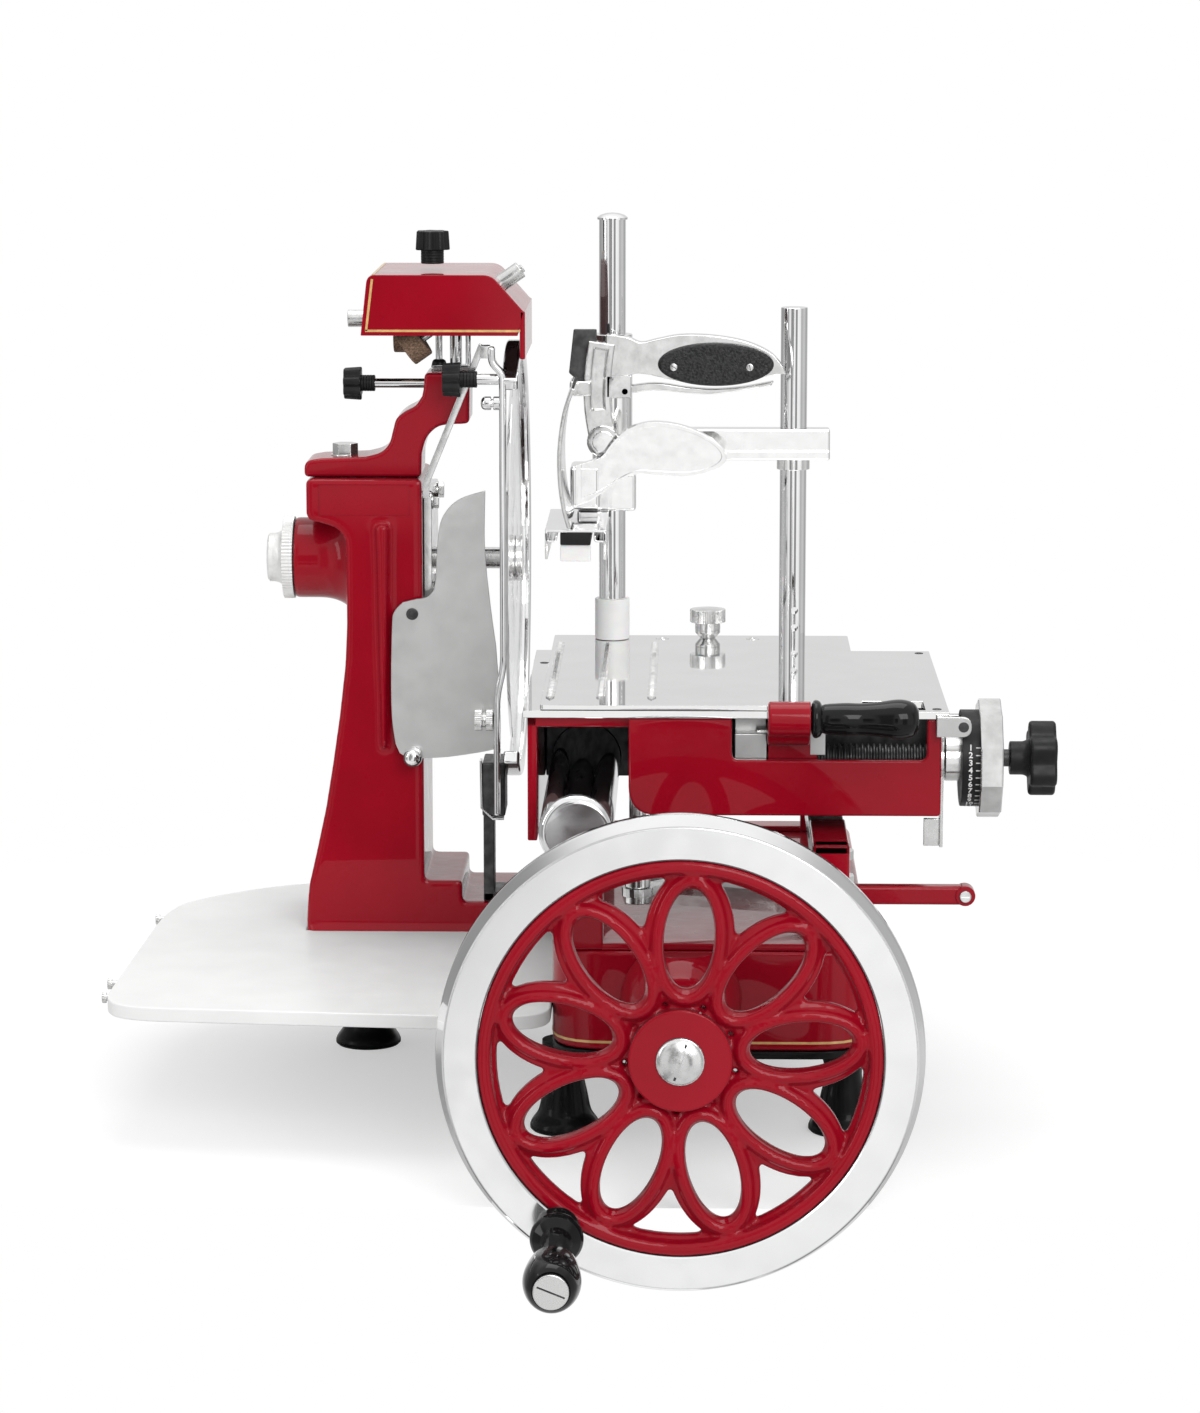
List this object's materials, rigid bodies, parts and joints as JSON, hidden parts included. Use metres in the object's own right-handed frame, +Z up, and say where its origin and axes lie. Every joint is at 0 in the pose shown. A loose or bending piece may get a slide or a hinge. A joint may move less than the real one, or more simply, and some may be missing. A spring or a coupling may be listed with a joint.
{
  "type": "hand crank meat slicer",
  "caption": "Hand-cranked flywheel meat slicer: guarded round blade, sliding carriage with table, posts and press, sharpener, thickness dial and spoked flywheel.",
  "frame": {"origin": "centre of the front left foot's sole", "axes": "+X to the operator's right across the machine, +Y from the flywheel towards the back, +Z up, with the four soles in the plane z = 0"},
  "size_m": [0.669, 0.7671, 0.6806],
  "materials": {
    "red_enamel": "gloss",
    "black_enamel": "gloss",
    "black_plastic": "gloss",
    "chrome_plate": "polished",
    "satin_steel": "satin",
    "satin_aluminium": "satin",
    "bright_steel": "bright",
    "polished_rim": "polished",
    "white_board": "matte",
    "grey_stone": "rough"
  },
  "bodies": {
    "frame": {"front_left_foot": "black_plastic", "front_right_foot": "black_plastic", "rear_left_foot": "black_plastic", "rear_right_foot": "black_plastic", "base_plate": "black_enamel", "base_housing": "red_enamel", "flywheel_bearing": "red_enamel", "column": "red_enamel", "blade_bearing": "satin_aluminium", "flange_plate": "satin_aluminium", "receiving_board": "white_board", "drive_chain": "bright_steel", "blade_guard": "chrome_plate", "guide_plate": "satin_steel", "sharpener_arm": "red_enamel", "sharpener_rods": "chrome_plate", "guide_tube": "chrome_plate", "front_bracket": "red_enamel", "rear_bracket": "red_enamel", "right_rail": "bright_steel"},
    "flywheel": {"flywheel_web": "red_enamel", "flywheel_rim": "polished_rim", "flywheel_shaft": "bright_steel", "drive_gear": "bright_steel"},
    "grip": {"crank_grip": "black_plastic"},
    "crank": {"crown_gear": "bright_steel", "crank_arm": "bright_steel"},
    "cross_drive": {"cross_shaft": "bright_steel"},
    "blade_unit": {"blade": "chrome_plate", "blade_shaft": "bright_steel"},
    "guide_screw": {"guide_knob": "chrome_plate"},
    "guard_screw": {"guard_knob": "chrome_plate"},
    "left_lock": {"left_arm_knob": "black_plastic"},
    "right_lock": {"right_arm_knob": "black_plastic"},
    "sharpener": {"sharpener_hood": "red_enamel"},
    "hood_clamp": {"hood_knob": "black_plastic"},
    "truing_unit": {"truing_pusher": "bright_steel", "truing_stone": "grey_stone"},
    "grinding_unit": {"grinding_pusher": "bright_steel", "grinding_stone": "grey_stone"},
    "carriage": {"carriage_casting": "red_enamel", "lower_plate": "chrome_plate", "slide_bearing": "bright_steel"},
    "roller": {"rail_roller": "bright_steel"},
    "rod": {"connecting_rod": "satin_steel"},
    "feed_screw": {"lead_screw": "bright_steel", "star_knob": "black_plastic"},
    "dial": {"thickness_dial": "satin_aluminium"},
    "pawl_lever": {"feed_pawl_lever": "satin_steel"},
    "table": {"upper_plate": "chrome_plate", "table_posts": "chrome_plate", "table_nut": "bright_steel"},
    "table_screw": {"table_knob": "chrome_plate"},
    "lever": {"release_lever": "red_enamel", "lever_grip": "black_plastic"},
    "press": {"press_carrier": "satin_aluminium"},
    "presser": {"presser_handle": "satin_aluminium"},
    "squeeze": {"squeeze_lever": "chrome_plate"}
  },
  "joints": [
    {"name": "flywheel_spin", "type": "hinge", "parent": "frame", "child": "flywheel", "pos_m": [0.0818, -0.13, 0.1078], "axis": [0, 1, 0], "continuous": true},
    {"name": "grip_spin", "type": "hinge", "parent": "flywheel", "child": "grip", "pos_m": [0.00214, -0.29, -0.00513], "axis": [0, 1, 0], "continuous": true},
    {"name": "crank_spin", "type": "hinge", "parent": "frame", "child": "crank", "pos_m": [0.0818, 0.17, 0.15], "axis": [0, 0, 1], "continuous": true},
    {"name": "cross_spin", "type": "hinge", "parent": "frame", "child": "cross_drive", "pos_m": [-0.05, 0.24, 0.1078], "axis": [1, 0, 0], "continuous": true},
    {"name": "blade_spin", "type": "hinge", "parent": "frame", "child": "blade_unit", "pos_m": [-0.1, 0.24, 0.373], "axis": [1, 0, 0], "continuous": true},
    {"name": "guide_knob_turn", "type": "hinge", "parent": "frame", "child": "guide_screw", "pos_m": [-0.117, 0.17, 0.234], "axis": [0, 1, 0], "range_deg": [-360, 360]},
    {"name": "guard_knob_turn", "type": "hinge", "parent": "frame", "child": "guard_screw", "pos_m": [-0.062, 0.166, 0.263], "axis": [1, 0, 0], "range_deg": [-360, 360]},
    {"name": "left_knob_turn", "type": "hinge", "parent": "frame", "child": "left_lock", "pos_m": [-0.14, 0.22, 0.506], "axis": [1, 0, 0], "range_deg": [-360, 360]},
    {"name": "right_knob_turn", "type": "hinge", "parent": "frame", "child": "right_lock", "pos_m": [-0.075, 0.166, 0.514], "axis": [1, 0, 0], "range_deg": [-360, 360]},
    {"name": "sharpener_slide", "type": "slide", "parent": "frame", "child": "sharpener", "axis": [0, 0, 1], "range_m": [-0.007, 0.02]},
    {"name": "hood_knob_turn", "type": "hinge", "parent": "sharpener", "child": "hood_clamp", "pos_m": [-0.105, 0.24, 0.602], "axis": [0, 0, 1], "range_deg": [-360, 360]},
    {"name": "truing_push", "type": "slide", "parent": "sharpener", "child": "truing_unit", "axis": [1, 0, 0], "range_m": [0, 0.006], "stiffness_N_per_m": 250, "springref_m": -0.004},
    {"name": "grinding_push", "type": "slide", "parent": "sharpener", "child": "grinding_unit", "axis": [-0.8192, 0, -0.5736], "range_m": [0, 0.008], "stiffness_N_per_m": 250, "springref_m": -0.004},
    {"name": "carriage_slide", "type": "slide", "parent": "frame", "child": "carriage", "axis": [0, 1, 0], "range_m": [-0.125, 0.1]},
    {"name": "roller_spin", "type": "hinge", "parent": "carriage", "child": "roller", "pos_m": [0.1835, 0.17, 0.2223], "axis": [1, 0, 0], "range_deg": [-600, 740]},
    {"name": "rod_swing", "type": "hinge", "parent": "carriage", "child": "rod", "pos_m": [0.051, 0, 0.1715], "axis": [0, 0, 1], "range_deg": [-3, 75]},
    {"name": "table_slide", "type": "slide", "parent": "carriage", "child": "table", "axis": [1, 0, 0], "range_m": [0, 0.04]},
    {"name": "feed_screw_spin", "type": "hinge", "parent": "carriage", "child": "feed_screw", "pos_m": [0.15, -0.005, 0.268], "axis": [1, 0, 0], "range_deg": [-20, 1820]},
    {"name": "dial_turn", "type": "hinge", "parent": "carriage", "child": "dial", "pos_m": [0.285, -0.005, 0.268], "axis": [1, 0, 0], "range_deg": [0, 300]},
    {"name": "pawl_swing", "type": "hinge", "parent": "carriage", "child": "pawl_lever", "pos_m": [0.2615, -0.005, 0.268], "axis": [1, 0, 0], "range_deg": [-20, 20]},
    {"name": "table_knob_turn", "type": "hinge", "parent": "table", "child": "table_screw", "pos_m": [0.1, 0.272, 0.32], "axis": [0, 0, 1], "range_deg": [-360, 360]},
    {"name": "release_swing", "type": "hinge", "parent": "table", "child": "lever", "pos_m": [0.155, -0.012, 0.287], "axis": [1, 0, 0], "range_deg": [0, 30]},
    {"name": "press_slide", "type": "slide", "parent": "table", "child": "press", "axis": [0, 0, 1], "range_m": [-0.068, 0.08]},
    {"name": "presser_swing", "type": "hinge", "parent": "press", "child": "presser", "pos_m": [0.022, 0.232, 0.462], "axis": [0, 1, 0], "range_deg": [-6, 8]},
    {"name": "squeeze_swing", "type": "hinge", "parent": "presser", "child": "squeeze", "pos_m": [0.038, 0.232, 0.499], "axis": [0, 1, 0], "range_deg": [-2, 0], "stiffness_Nm_per_rad": 0.6, "springref_deg": 5.73}
  ],
  "couplings": [
    {"joint": "crank_spin", "follows": "flywheel_spin", "ratio": 0.5},
    {"joint": "cross_spin", "follows": "flywheel_spin", "ratio": -2},
    {"joint": "blade_spin", "follows": "flywheel_spin", "ratio": -4},
    {"joint": "roller_spin", "follows": "carriage_slide", "rad_per_m": -100},
    {"joint": "feed_screw_spin", "follows": "table_slide", "rad_per_m": 785.4}
  ]
}
